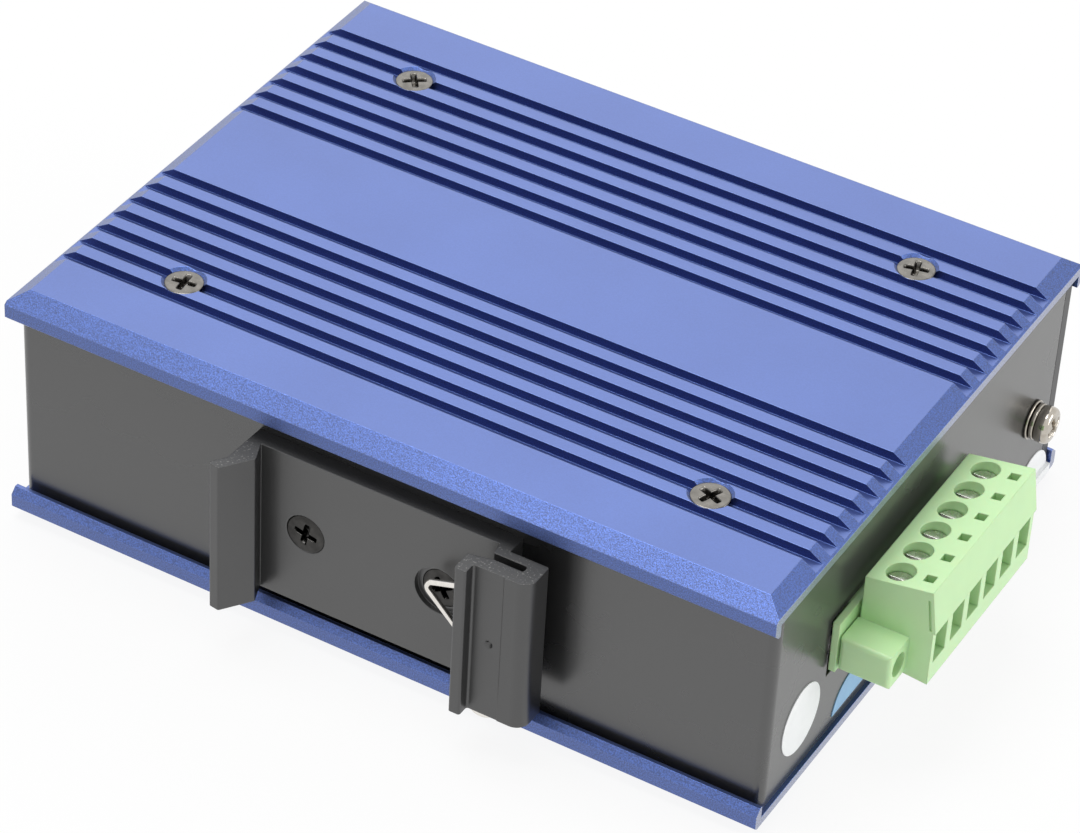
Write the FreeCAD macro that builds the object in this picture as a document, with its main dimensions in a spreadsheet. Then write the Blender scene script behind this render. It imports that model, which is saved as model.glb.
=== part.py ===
import FreeCAD, Part
import math
import os
import Sketcher

# DIN rail Ethernet switch: two finned aluminium covers clamp a folded steel
# chassis and its front panel round a circuit board. A rail clip with a wire
# spring is screwed to the back, a pluggable power terminal stands out of one end.
# +X runs along the length towards the terminal, +Y to the ports, +Z up.
# The origin is the middle of the bottom cover's outer face.

SIZES = [
    # covers: aluminium extrusions with a lip along each long edge
    ("cover_length", 120.0),
    ("cover_width", 92.4),
    ("cover_plate", 3.0),
    ("chamfer_rise", 2.0),
    ("chamfer_side_run", 2.7),
    ("chamfer_end_rise", 1.6),
    ("chamfer_end_run", 2.5),
    ("lip_height", 5.0),
    ("lip_wall", 1.5),
    ("lip_bevel", 0.95),
    ("groove_width", 2.0),
    ("groove_depth", 1.4),
    ("groove_pitch", 4.0),
    ("groove_first", 10.0),
    ("groove_count", 7),
    ("body_height", 33.68),
    # cover screws, M3 countersunk, and the pillars that they pull on
    ("pillar_gap", 2.42),
    ("pillar_inset", 16.2),
    ("screw_diameter", 3.0),
    ("screw_length", 6.0),
    ("flat_head_diameter", 5.5),
    ("seat_diameter", 6.4),
    ("seat_fit", 0.1),
    ("thread_fit", 0.06),
    ("screw_clearance", 0.4),
    ("recess_span", 3.3),
    ("recess_wing", 0.8),
    ("recess_depth", 1.0),
    ("pillar_across_flats", 5.5),
    ("lower_pillar", 10.2),
    ("stud_length", 4.0),
    # folded steel chassis
    ("sheet", 1.0),
    ("bend_radius", 1.4),
    ("wall_inset", 0.65),
    ("back_inset", 2.4),
    ("panel_inset", 1.8),
    ("flange_width", 6.0),
    ("panel_thickness", 2.0),
    ("panel_gap", 0.1),
    # rail clip: one length of extrusion, its section in plan
    ("clip_length", 25.0),
    ("clip_plate", 2.6),
    ("clip_stem_inner", -17.8),
    ("clip_stem_wall", 1.9),
    ("hook_gap", 3.1),
    ("hook_barb", 1.2),
    ("hook_reach", 7.5),
    ("hook_lean", 3.1),
    ("hook_width", 1.9),
    ("hook_neck", 4.8),
    ("rib_inner", 17.0),
    ("rib_width", 1.8),
    ("rib_reach", 7.4),
    ("rib_clear", 4.0),
    ("block_reach", 5.5),
    ("block_side", 27.4),
    ("block_back", 0.6),
    ("block_round", 2.0),
    ("block_line", 23.5),
    ("block_pit_x", 21.6),
    ("block_pit_diameter", 1.3),
    ("edge_round", 0.35),
    ("plate_end", 21.5),
    ("slot_start", 19.8),
    ("slot_end", 25.0),
    ("slot_step", 2.0),
    ("slot_gap", 1.2),
    ("clip_screw_pitch", 21.2),
    ("clip_bore", 7.6),
    ("clip_bore_depth", 0.8),
    ("clip_head_diameter", 6.0),
    ("clip_screw_length", 6.0),
    ("rail_nut_diameter", 5.6),
    ("rail_nut_length", 2.0),
    # wire spring of the rail clip
    ("wire_diameter", 0.9),
    ("wire_bend", 1.0),
    ("spring_apex_x", 9.4),
    ("spring_apex_z", 23.0),
    ("spring_top_z", 27.6),
    ("spring_heel_x", 17.4),
    ("spring_bow", 1.98),
    ("spring_heel_z", 15.2),
    ("spring_foot_z", 4.3),
    ("spring_tail_x", 21.4),
    ("spring_tail_z", 11.0),
    # circuit board
    ("board_end_gap", 3.85),
    ("board_back_gap", 2.2),
    ("board_front_gap", 1.1),
    ("board_thickness", 1.6),
    # pluggable terminal: header on the board, plug outside
    ("ways", 6),
    ("way_pitch", 5.08),
    ("first_way", -19.5),
    ("plug_margin", 2.8),
    ("plug_standoff", 1.85),
    ("plug_top_back", 29.3),
    ("plug_top_front", 31.05),
    ("plug_top_depth", 9.85),
    ("plug_slant_run", 1.0),
    ("plug_front_height", 8.8),
    ("plug_bottom", 15.5),
    ("plug_bottom_rise", 1.0),
    ("tongue_length", 7.0),
    ("tongue_bottom", 17.0),
    ("tongue_height", 5.8),
    ("well_setback", 3.8),
    ("well_diameter", 4.1),
    ("well_floor", 27.1),
    ("test_setback", 8.0),
    ("test_side", 1.5),
    ("test_depth", 5.0),
    ("window_width", 3.5),
    ("window_height", 5.7),
    ("window_sill", 3.1),
    ("window_depth", 9.9),
    ("plug_seam", 0.3),
    ("plug_step", 0.3),
    ("ear_width", 5.3),
    ("ear_depth", 7.6),
    ("ear_height", 5.5),
    ("ear_bottom", 16.7),
    ("ear_bore", 3.6),
    ("ear_round", 0.7),
    ("ear_setback", 0.3),
    ("shell_wall", 0.9),
    ("shell_gap", 0.15),
    ("header_plate", 1.0),
    ("header_plate_gap", 0.2),
    ("header_plate_rise", 1.8),
    ("header_plate_drop", 0.5),
    ("header_rim", 0.5),
    ("window_lap", 0.35),
    ("header_depth", 10.7),
    ("pin_side", 1.0),
    ("pin_leg_gap", 2.0),
    ("pin_reach", 6.0),
    ("contact_wall", 0.35),
    ("contact_gap", 0.2),
    ("cage_wall", 0.5),
    ("cage_gap", 0.1),
    ("cage_depth", 5.4),
    ("clamp_head_diameter", 3.8),
    ("clamp_shank_diameter", 2.2),
    ("clamp_head_height", 1.2),
    ("driver_slot", 0.6),
    ("ear_screw_diameter", 2.5),
    ("ear_screw_head", 3.4),
    ("ear_nut_diameter", 4.2),
    ("ear_nut_height", 1.9),
    # ports: one ganged modular jack behind the front panel
    ("port_count", 5),
    ("port_pitch", 13.97),
    ("jack_width", 71.6),
    ("jack_height", 13.2),
    ("jack_depth", 15.4),
    ("jack_skin", 0.3),
    ("jack_recess", 0.4),
    ("port_width", 11.8),
    ("port_height", 6.9),
    ("port_floor", 3.6),
    ("port_depth", 12.6),
    ("latch_width", 6.2),
    ("latch_height", 2.0),
    ("contact_pitch", 1.02),
    ("wire_side", 0.35),
    ("window_gap", 0.35),
    # indicator lamps in the front panel
    ("lamp_diameter", 3.0),
    ("lamp_fit", 0.1),
    ("lamp_length", 3.1),
    ("lamp_tip", 0.5),
    ("lamp_margin", 2.35),
    ("lamp_pitch_x", 6.0),
    ("lamp_pitch_z", 7.0),
    # earth screw with its washers and rivet nut
    ("earth_at_y", 36.2),
    ("earth_at_z", 16.3),
    ("pan_head_diameter", 5.6),
    ("pan_head_height", 2.2),
    ("washer_diameter", 6.0),
    ("washer_thickness", 0.5),
    ("spring_washer_diameter", 5.5),
    ("spring_washer_height", 0.9),
    # round paper seals on the end wall
    ("seal_diameter", 10.6),
    ("seal_thickness", 0.12),
    ("round_seal_y", -34.0),
    ("round_seal_z", 12.1),
    ("cut_seal_y", -18.6),
    ("cut_seal_z", 4.0),
    ("cut_seal_foot", 4.7),
    ("bridge_seal_gap", 0.4),
    ("bridge_seal_z", 2.4),
    # main parts on the board
    ("filter_length", 12.7),
    ("filter_width", 7.0),
    ("filter_height", 5.6),
    ("filter_at_y", 20.0),
    ("chip_side", 14.0),
    ("chip_height", 1.4),
    ("coil_side", 12.0),
    ("coil_height", 7.0),
    ("coil_at_x", 16.0),
    ("coil_at_y", -24.0),
    ("can_diameter", 8.0),
    ("can_height", 11.5),
    ("can_at_x", 33.4),
    ("can_at_y", -26.0),
    ("can_pitch", 12.0),
    ("relay_length", 15.0),
    ("relay_width", 7.4),
    ("relay_height", 10.0),
    ("relay_at_x", 34.0),
    ("relay_at_y", 6.0),
]

DOC = FreeCAD.newDocument("din_rail_ethernet_switch")
SHEET = DOC.addObject("Spreadsheet::Sheet", "sizes")
for row, (alias, number) in enumerate(SIZES, start=1):
    SHEET.set("A%d" % row, alias)
    SHEET.set("B%d" % row, str(number))
    SHEET.setAlias("B%d" % row, alias)
DOC.recompute()


class Size:
    """A cell of the sheet, or arithmetic on cells: its expression and its value."""

    def __init__(self, text, value):
        self.text = text
        self.value = value

    def __add__(self, other):
        other = as_size(other)
        return Size("(%s + %s)" % (self.text, other.text), self.value + other.value)

    def __sub__(self, other):
        other = as_size(other)
        return Size("(%s - %s)" % (self.text, other.text), self.value - other.value)

    def __mul__(self, other):
        other = as_size(other)
        return Size("(%s * %s)" % (self.text, other.text), self.value * other.value)

    def __truediv__(self, other):
        other = as_size(other)
        return Size("(%s / %s)" % (self.text, other.text), self.value / other.value)

    def __neg__(self):
        return Size("(0 - %s)" % self.text, -self.value)

    def __radd__(self, other):
        return as_size(other) + self

    def __rsub__(self, other):
        return as_size(other) - self

    def __rmul__(self, other):
        return as_size(other) * self


def as_size(number):
    """A plain number as a Size; a Size as it is."""
    if isinstance(number, Size):
        return number
    return Size("(%r)" % float(number), float(number))


def cell(alias):
    """The named cell of the sheet."""
    return Size("sizes." + alias, float(SHEET.get(alias)))


class Cells:
    """The sheet's cells by name, as in size.cover_length."""

    def __getattr__(self, alias):
        return cell(alias)


size = Cells()

# Levels and walls that several pieces share.
TOP = 2 * size.cover_plate + size.body_height
HALF_LENGTH = size.cover_length / 2
HALF_WIDTH = size.cover_width / 2
FLOOR = size.cover_plate
CEILING = size.cover_plate + size.body_height
HEAD_LEVEL = (size.seat_diameter - size.flat_head_diameter) / 2 - size.seat_fit
END_WALL = HALF_LENGTH - size.wall_inset
BACK_WALL = size.back_inset - HALF_WIDTH
PANEL_FACE = HALF_WIDTH - size.panel_inset
PANEL_BACK = PANEL_FACE - size.panel_thickness
MIDDLE = TOP / 2
BOARD_UNDER = FLOOR + size.lower_pillar
BOARD_TOP = BOARD_UNDER + size.board_thickness
CLIP_FACE = BACK_WALL - size.clip_plate
CLIP_FOOT = MIDDLE - size.clip_length / 2
PILLAR_CORNER = size.pillar_across_flats / math.sqrt(3)
PILLAR_X = size.jack_width / 2 + size.pillar_gap + PILLAR_CORNER
PILLAR_Y = HALF_WIDTH - size.pillar_inset
CLIP_LEFT = -size.clip_screw_pitch / 2
CLIP_RIGHT = size.clip_screw_pitch / 2

ALONG_X = FreeCAD.Rotation(FreeCAD.Vector(0, 1, 0), 90)
AGAINST_X = FreeCAD.Rotation(FreeCAD.Vector(0, 1, 0), -90)
ALONG_Y = FreeCAD.Rotation(FreeCAD.Vector(1, 0, 0), -90)
AGAINST_Y = FreeCAD.Rotation(FreeCAD.Vector(1, 0, 0), 90)
UPRIGHT = FreeCAD.Rotation()
UPSIDE_DOWN = FreeCAD.Rotation(FreeCAD.Vector(1, 0, 0), 180)


def new_body(label):
    """An empty PartDesign body that becomes the sub-part of that name."""
    body = DOC.addObject("PartDesign::Body", label)
    body.Label = label
    return body


def place(thing, at, turn=UPRIGHT, prop="Placement"):
    """Put a thing at three Sizes, turned, with its place bound to the sheet."""
    base = FreeCAD.Vector(*[as_size(value).value for value in at])
    setattr(thing, prop, FreeCAD.Placement(base, turn))
    for axis, value in zip("xyz", at):
        thing.setExpression("%s.Base.%s" % (prop, axis), as_size(value).text)


def new_sketch(body, plane, name, offset=None):
    """A sketch on an origin plane of the body, moved along the plane's normal."""
    sketch = body.newObject("Sketcher::SketchObject", name)
    planes = [item for item in body.Origin.OriginFeatures if item.Role == plane]
    sketch.AttachmentSupport = [(planes[0], "")]
    sketch.MapMode = "FlatFace"
    if offset is not None:
        sketch.AttachmentOffset = FreeCAD.Placement(FreeCAD.Vector(0, 0, offset.value), UPRIGHT)
        sketch.setExpression("AttachmentOffset.Base.z", offset.text)
    return sketch


def pin_point(sketch, index, point, corner):
    """Tie one point of an edge to its two Sizes from the sketch's origin."""
    for kind, value in zip(("DistanceX", "DistanceY"), corner):
        value = as_size(value)
        number = sketch.addConstraint(Sketcher.Constraint(kind, -1, 1, index, point, value.value))
        sketch.setExpression("Constraints[%d]" % number, value.text)


def add_outline(sketch, corners):
    """A closed outline of straight edges, each corner bound to the sheet."""
    spots = [FreeCAD.Vector(as_size(x).value, as_size(y).value, 0) for x, y in corners]
    first = sketch.GeometryCount
    count = len(spots)
    for step in range(count):
        sketch.addGeometry(Part.LineSegment(spots[step], spots[(step + 1) % count]), False)
    for step in range(count):
        after = first + (step + 1) % count
        sketch.addConstraint(Sketcher.Constraint("Coincident", first + step, 2, after, 1))
    for step, corner in enumerate(corners):
        pin_point(sketch, first + step, 1, corner)


def add_rectangle(sketch, low, high):
    """A rectangle between two opposite corners."""
    add_outline(sketch, [low, (high[0], low[1]), high, (low[0], high[1])])


def add_circle(sketch, centre, diameter):
    """A circle bound to the sheet by its centre and diameter."""
    diameter = as_size(diameter)
    spot = FreeCAD.Vector(as_size(centre[0]).value, as_size(centre[1]).value, 0)
    circle = Part.Circle(spot, FreeCAD.Vector(0, 0, 1), diameter.value / 2)
    index = sketch.addGeometry(circle, False)
    pin_point(sketch, index, 3, centre)
    number = sketch.addConstraint(Sketcher.Constraint("Diameter", index, diameter.value))
    sketch.setExpression("Constraints[%d]" % number, diameter.text)


def pad(body, sketch, length, reverse=False, middle=False):
    """Pad a sketch by a bound length."""
    feature = body.newObject("PartDesign::Pad", sketch.Name + "_pad")
    feature.Profile = sketch
    feature.Length = length.value
    feature.setExpression("Length", length.text)
    feature.Reversed = reverse
    feature.Midplane = middle
    sketch.Visibility = False
    return feature


def pocket(body, sketch, length=None, reverse=False):
    """Pocket a sketch to a bound depth, or through all both ways, and check that it cut."""
    DOC.recompute()
    before = body.Shape.Volume
    feature = body.newObject("PartDesign::Pocket", sketch.Name + "_cut")
    feature.Profile = sketch
    if length is None:
        feature.Type = "ThroughAll"
        feature.Midplane = True
    else:
        feature.Length = length.value
        feature.setExpression("Length", length.text)
        feature.Reversed = reverse
    DOC.recompute()
    if not body.Shape.Volume < before:
        raise RuntimeError("%s cut nothing" % feature.Name)
    return feature


def primitive(body, kind, name, at, turn=UPRIGHT, **sizes):
    """An additive or subtractive PartDesign primitive with bound sizes and place."""
    feature = body.newObject("PartDesign::" + kind, name)
    for prop, value in sizes.items():
        value = as_size(value)
        setattr(feature, prop, value.value)
        feature.setExpression(prop, value.text)
    place(feature, at, turn)
    return feature


def round_edges(body, radius, chosen):
    """Fillet the edges of the body's tip that pass the test."""
    DOC.recompute()
    base = body.Tip
    names = []
    for number, edge in enumerate(base.Shape.Edges, start=1):
        if chosen(edge):
            names.append("Edge%d" % number)
    feature = body.newObject("PartDesign::Fillet", body.Name + "_fillet")
    feature.Base = (base, names)
    feature.Radius = radius.value
    feature.setExpression("Radius", radius.text)
    return feature


def upright_edge(edge, x, y):
    """True for a vertical edge at the given place in plan."""
    ends = [vertex.Point for vertex in edge.Vertexes]
    if len(ends) != 2:
        return False
    spot = FreeCAD.Vector(x.value, y.value, 0)
    return all(math.hypot(end.x - spot.x, end.y - spot.y) < 0.01 for end in ends)


def way_centre(way):
    """The Y of one way of the terminal, counted from the -Y end."""
    return size.first_way + way * size.way_pitch


def sides():
    """The two signs, for what is mirrored."""
    return (-1, 1)


def pillar_spots():
    """The four places, in plan, of the pillars and cover screws."""
    return [(sx * PILLAR_X, sy * PILLAR_Y) for sx in sides() for sy in sides()]


def shifted(at, turn, offset):
    """The place an offset away in the turned frame, for quarter turns only."""
    columns = [turn.multVec(FreeCAD.Vector(*unit)) for unit in ((1, 0, 0), (0, 1, 0), (0, 0, 1))]
    moved = []
    for row in range(3):
        total = as_size(at[row])
        for column in range(3):
            sign = round(columns[column][row])
            if sign:
                total = total + sign * as_size(offset[column])
        moved.append(total)
    return moved


def cross_recess(body, tag, at, turn):
    """The Phillips recess in a screw head whose outer face is at the place."""
    span = size.recess_span
    wing = size.recess_wing
    deep = size.recess_depth
    for number, (wide, tall) in enumerate(((span, wing), (wing, span))):
        corner = shifted(at, turn, (-wide / 2, -tall / 2, 0))
        primitive(body, "SubtractiveBox", "%s_recess_%d" % (tag, number), corner, turn,
                  Length=wide, Width=tall, Height=deep)


def flat_screw(body, tag, at, turn, head, length):
    """A countersunk screw: 90 degree cone, shank and Phillips recess."""
    shank = size.screw_diameter
    primitive(body, "AdditiveCone", tag + "_head", at, turn,
              Radius1=head / 2, Radius2=shank / 2, Height=(head - shank) / 2)
    primitive(body, "AdditiveCylinder", tag + "_shank", at, turn, Radius=shank / 2, Height=length)
    cross_recess(body, tag, at, turn)


def countersink(body, tag, at, turn, head):
    """The 90 degree seat of a countersunk screw, cut from the face at the place."""
    wide = head / 2 + size.seat_fit
    narrow = (size.screw_diameter + size.screw_clearance) / 2
    primitive(body, "SubtractiveCone", tag, at, turn,
              Radius1=wide, Radius2=narrow, Height=wide - narrow)


def make_cover(label):
    """A finned cover lying outer face down at the origin."""
    body = new_body(label)
    wide = HALF_WIDTH
    inside = wide - size.lip_wall
    half = [
        (wide - size.chamfer_side_run, 0),
        (wide, size.chamfer_rise),
        (wide, size.lip_height - size.lip_bevel),
        (wide - size.lip_bevel, size.lip_height),
        (inside, size.lip_height),
        (inside, size.cover_plate),
    ]
    section = new_sketch(body, "YZ_Plane", label + "_section")
    add_outline(section, half + [(-y, z) for y, z in reversed(half)])
    pad(body, section, size.cover_length, middle=True)

    grooves = new_sketch(body, "YZ_Plane", label + "_grooves")
    for side in sides():
        for number in range(int(size.groove_count.value)):
            middle = side * (size.groove_first + number * size.groove_pitch)
            low = (middle - size.groove_width / 2, -size.groove_depth)
            add_rectangle(grooves, low, (middle + size.groove_width / 2, size.groove_depth))
    pocket(body, grooves)

    ends = new_sketch(body, "XZ_Plane", label + "_end_bevels")
    for side in sides():
        start = side * (HALF_LENGTH - size.chamfer_end_run)
        tip = side * HALF_LENGTH
        add_outline(ends, [(start, 0), (tip, 0), (tip, size.chamfer_end_rise)])
    pocket(body, ends)

    holes = new_sketch(body, "XY_Plane", label + "_screw_holes")
    for spot in pillar_spots():
        add_circle(holes, spot, size.screw_diameter + size.screw_clearance)
    pocket(body, holes)
    for number, (x, y) in enumerate(pillar_spots()):
        countersink(body, "%s_countersink_%d" % (label, number), (x, y, 0), UPRIGHT,
                    size.seat_diameter - 2 * size.seat_fit)
    return body


def make_cover_screws(label, level, turn):
    """Four countersunk screws with their heads a little below the outer face."""
    body = new_body(label)
    for number, (x, y) in enumerate(pillar_spots()):
        flat_screw(body, "%s_%d" % (label, number), (x, y, level), turn,
                   size.flat_head_diameter, size.screw_length)
    return body


def make_lower_pillars():
    """Four hexagonal pillars that carry the board, tapped right through."""
    body = new_body("lower_pillars")
    for number, (x, y) in enumerate(pillar_spots()):
        primitive(body, "AdditivePrism", "lower_pillar_%d" % number, (x, y, FLOOR),
                  Circumradius=PILLAR_CORNER, Height=size.lower_pillar)
        primitive(body, "SubtractiveCylinder", "lower_thread_%d" % number, (x, y, FLOOR),
                  Radius=size.screw_diameter / 2 + size.thread_fit, Height=size.lower_pillar)
    return body


def make_upper_pillars():
    """Four hexagonal pillars whose studs go through the board into the lower ones."""
    body = new_body("upper_pillars")
    stud = size.board_thickness + size.stud_length
    tapped = size.screw_length + size.thread_fit
    for number, (x, y) in enumerate(pillar_spots()):
        primitive(body, "AdditivePrism", "upper_pillar_%d" % number, (x, y, BOARD_TOP),
                  Circumradius=PILLAR_CORNER, Height=CEILING - BOARD_TOP)
        primitive(body, "AdditiveCylinder", "stud_%d" % number, (x, y, BOARD_TOP - stud),
                  Radius=size.screw_diameter / 2, Height=stud)
        primitive(body, "SubtractiveCylinder", "upper_thread_%d" % number, (x, y, CEILING - tapped),
                  Radius=size.screw_diameter / 2 + size.thread_fit, Height=tapped)
    return body


# The terminal's edges along the row of ways, and the levels of its tongue and shell.
PLUG_LOW = size.first_way - size.plug_margin
PLUG_HIGH = way_centre(size.ways - 1) + size.plug_margin
PLUG_BACK = END_WALL + size.plug_standoff
PLUG_FRONT = PLUG_BACK + size.plug_top_depth + size.plug_slant_run
WELL_X = PLUG_BACK + size.well_setback
TEST_X = PLUG_BACK + size.test_setback
EAR_BACK = PLUG_BACK - size.ear_setback
EAR_MIDDLE = size.ear_bottom + size.ear_height / 2
HEADER_FRONT = EAR_BACK - size.header_plate_gap
HEADER_TOP = size.ear_bottom + size.ear_height + size.header_plate_rise
HEADER_BACK = HEADER_FRONT - size.header_depth
PIN_LEG = HEADER_BACK - size.pin_leg_gap
TONGUE_BACK = PLUG_BACK - size.tongue_length
PIN_LEVEL = size.tongue_bottom + size.tongue_height / 2
CONTACT_SIDE = size.pin_side + 2 * (size.contact_gap + size.contact_wall)
WINDOW_FLOOR = size.plug_bottom + size.window_sill
WINDOW_BACK = PLUG_FRONT - size.window_depth
JACK_FRONT = PANEL_FACE - size.jack_recess
JACK_BACK = JACK_FRONT - size.jack_depth
JACK_TOP = BOARD_TOP + size.jack_height
PORT_FLOOR = BOARD_TOP + size.port_floor
LAMP_X = END_WALL - size.sheet - size.flange_width - size.lamp_margin
BRIDGE_Y = HALF_WIDTH - size.lip_wall - size.bridge_seal_gap - size.seal_diameter / 2


def ear_spots():
    """The Y of the two flange screws of the terminal."""
    return (PLUG_LOW - size.ear_width / 2, PLUG_HIGH + size.ear_width / 2)


def ways():
    """The Y of each way of the terminal."""
    return [way_centre(number) for number in range(int(size.ways.value))]


def port_spots():
    """The X of each port of the ganged jack."""
    count = int(size.port_count.value)
    return [(number - (count - 1) / 2) * size.port_pitch for number in range(count)]


def lamp_spots():
    """The places, in X and Z, of the six indicator lamps beside the ports."""
    return [(LAMP_X - column * size.lamp_pitch_x, MIDDLE + row * size.lamp_pitch_z)
            for column in (0, 1) for row in (-1, 0, 1)]


def make_chassis():
    """The folded steel wrap: back, two ends, and flanges all round."""
    body = new_body("chassis")
    out = END_WALL
    back = BACK_WALL
    front = PANEL_BACK - size.panel_gap
    sheet = size.sheet
    lip = sheet + size.flange_width
    wrap = new_sketch(body, "XY_Plane", "chassis_wrap", FLOOR)
    half = [
        (out, back),
        (out, front),
        (out - lip, front),
        (out - lip, front - sheet),
        (out - sheet, front - sheet),
        (out - sheet, back + sheet),
    ]
    add_outline(wrap, half + [(-x, y) for x, y in reversed(half)])
    pad(body, wrap, size.body_height)

    for name, level, down in (("foot", FLOOR, False), ("head", CEILING, True)):
        flange = new_sketch(body, "XY_Plane", "chassis_%s_flange" % name, level)
        half = [
            (out, back),
            (out, front),
            (out - lip, front),
            (out - lip, back + lip),
        ]
        add_outline(flange, half + [(-x, y) for x, y in reversed(half)])
        pad(body, flange, sheet, reverse=down)
    round_edges(body, size.bend_radius, lambda edge: upright_edge(edge, out, back)
                or upright_edge(edge, -out, back))

    window = new_sketch(body, "YZ_Plane", "chassis_terminal_window", HALF_LENGTH)
    lap = size.window_lap
    add_rectangle(window, (PLUG_LOW - size.ear_width + lap, BOARD_TOP - lap),
                  (PLUG_HIGH + size.ear_width - lap, HEADER_TOP + size.header_rim / 2))
    pocket(body, window, size.wall_inset + 2 * sheet)
    wide = size.screw_diameter + size.screw_clearance
    primitive(body, "SubtractiveCylinder", "chassis_earth_hole",
              (out - 2 * sheet, size.earth_at_y, size.earth_at_z), ALONG_X,
              Radius=wide / 2, Height=3 * sheet)
    for number, x in enumerate((CLIP_LEFT, CLIP_RIGHT)):
        primitive(body, "SubtractiveCylinder", "chassis_clip_hole_%d" % number,
                  (x, back - sheet, MIDDLE), ALONG_Y, Radius=wide / 2, Height=3 * sheet)
    return body


def make_front_panel():
    """The flat front panel with the jack's window and the lamp holes."""
    body = new_body("front_panel")
    face = new_sketch(body, "XZ_Plane", "panel_face", -PANEL_BACK)
    add_rectangle(face, (-END_WALL, FLOOR), (END_WALL, CEILING))
    pad(body, face, size.panel_thickness, reverse=True)
    cuts = new_sketch(body, "XZ_Plane", "panel_cuts", -PANEL_BACK)
    half = size.jack_width / 2 + size.window_gap
    add_rectangle(cuts, (-half, BOARD_TOP - size.window_gap), (half, JACK_TOP + size.window_gap))
    for spot in lamp_spots():
        add_circle(cuts, spot, size.lamp_diameter + 2 * size.lamp_fit)
    pocket(body, cuts)
    return body


def make_din_clip():
    """The rail clip: hook, seat plate, rib and slotted block, cut from one extrusion."""
    body = new_body("din_clip")
    face = CLIP_FACE
    inner = size.clip_stem_inner
    outer = inner - size.clip_stem_wall
    barb = inner + size.hook_barb
    neck = barb - size.hook_lean
    rib_out = size.rib_inner + size.rib_width
    shelf = face - size.block_reach
    slot_back = face - size.slot_step
    slot_front = slot_back - size.slot_gap
    section = new_sketch(body, "XY_Plane", "clip_section", CLIP_FOOT)
    add_outline(section, [
        (outer, BACK_WALL),
        (size.plate_end, BACK_WALL),
        (size.plate_end, face - size.block_back),
        (size.block_side, face - size.block_back),
        (size.block_side, shelf - 0.1),
        (size.block_line, shelf - 0.1),
        (size.block_line, shelf),
        (rib_out, shelf),
        (rib_out, face - size.rib_reach),
        (size.rib_inner, face - size.rib_reach),
        (size.rib_inner, face - size.rib_clear),
        (size.slot_start + 0.9, slot_front),
        (size.slot_end, slot_front),
        (size.slot_end, slot_back),
        (size.slot_start, slot_back),
        (size.slot_start - 0.3, face),
        (inner, face),
        (barb, face - size.hook_gap),
        (neck, face - size.hook_reach),
        (neck - size.hook_width, face - size.hook_reach + 0.3),
        (outer - 0.25, face - size.hook_neck),
    ])
    pad(body, section, size.clip_length)
    round_edges(body, size.block_round,
                lambda edge: upright_edge(edge, size.block_side, shelf - 0.1))
    soft = (
        (barb, face - size.hook_gap),
        (neck, face - size.hook_reach),
        (neck - size.hook_width, face - size.hook_reach + 0.3),
        (size.rib_inner, face - size.rib_reach),
        (rib_out, face - size.rib_reach),
        (rib_out, shelf),
        (size.slot_end, slot_front),
        (size.slot_end, slot_back),
        (size.block_side, face - size.block_back),
    )
    round_edges(body, size.edge_round,
                lambda edge: any(upright_edge(edge, x, y) for x, y in soft))
    wide = (size.screw_diameter + size.screw_clearance) / 2
    holes = (("left", CLIP_LEFT, face),
             ("right", CLIP_RIGHT, face + size.clip_bore_depth))
    for tag, x, level in holes:
        primitive(body, "SubtractiveCylinder", "clip_hole_" + tag, (x, face - 1, MIDDLE), ALONG_Y,
                  Radius=wide, Height=size.clip_plate + 2)
        countersink(body, "clip_seat_" + tag, (x, level, MIDDLE), ALONG_Y, size.clip_head_diameter)
    pit = size.block_pit_diameter / 2
    primitive(body, "SubtractiveCone", "clip_block_pit", (size.block_pit_x, shelf, MIDDLE), ALONG_Y,
              Radius1=pit, Radius2=pit / 3, Height=pit * 2 / 3)
    primitive(body, "SubtractiveCylinder", "clip_bore_right",
              (CLIP_RIGHT, face - 1, MIDDLE), ALONG_Y,
              Radius=size.clip_bore / 2, Height=1 + size.clip_bore_depth)
    return body


def bent_wire(points, plane_y):
    """Straight runs in an XZ plane joined by tangent arcs, each corner with its own radius."""
    spots = [FreeCAD.Vector(x, plane_y, z) for x, z, radius in points]
    radii = [radius for x, z, radius in points]
    edges = []
    start = spots[0]
    for before, corner, after, radius in zip(spots, spots[1:], spots[2:], radii[1:]):
        back = (before - corner).normalize()
        ahead = (after - corner).normalize()
        half = back.getAngle(ahead) / 2
        reach = radius / math.tan(half)
        enter = corner + back * reach
        leave = corner + ahead * reach
        bisector = (back + ahead).normalize()
        middle = corner + bisector * (radius / math.sin(half) - radius)
        edges.append(Part.LineSegment(start, enter).toShape())
        edges.append(Part.Arc(enter, middle, leave).toShape())
        start = leave
    edges.append(Part.LineSegment(start, spots[-1]).toShape())
    return Part.Wire(edges)


def make_clip_spring():
    """The wire spring: a triangle before the seat, its ends in the block's slot."""
    wire = size.wire_diameter.value
    plane = (CLIP_FACE - size.slot_step - size.thread_fit).value - wire / 2
    bend = size.wire_bend.value
    bow = size.spring_bow.value
    points = [
        (size.slot_end.value - wire, size.spring_top_z.value, bend),
        (size.spring_apex_x.value, size.spring_apex_z.value, bend),
        (size.spring_heel_x.value, size.spring_heel_z.value, bend),
        (size.spring_heel_x.value, size.spring_foot_z.value, bow),
        (size.spring_tail_x.value, size.spring_foot_z.value, bow),
        (size.spring_tail_x.value, size.spring_tail_z.value, bend),
    ]
    path = bent_wire(points, plane)
    first = path.OrderedEdges[0]
    heading = first.tangentAt(first.FirstParameter)
    ring = Part.Wire([Part.Circle(first.Vertexes[0].Point, heading, wire / 2).toShape()])
    feature = DOC.addObject("Part::Feature", "clip_spring")
    feature.Label = "clip_spring"
    feature.Shape = path.makePipeShell([ring], True, False)
    feature.Placement = FreeCAD.Placement()
    return feature


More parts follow.
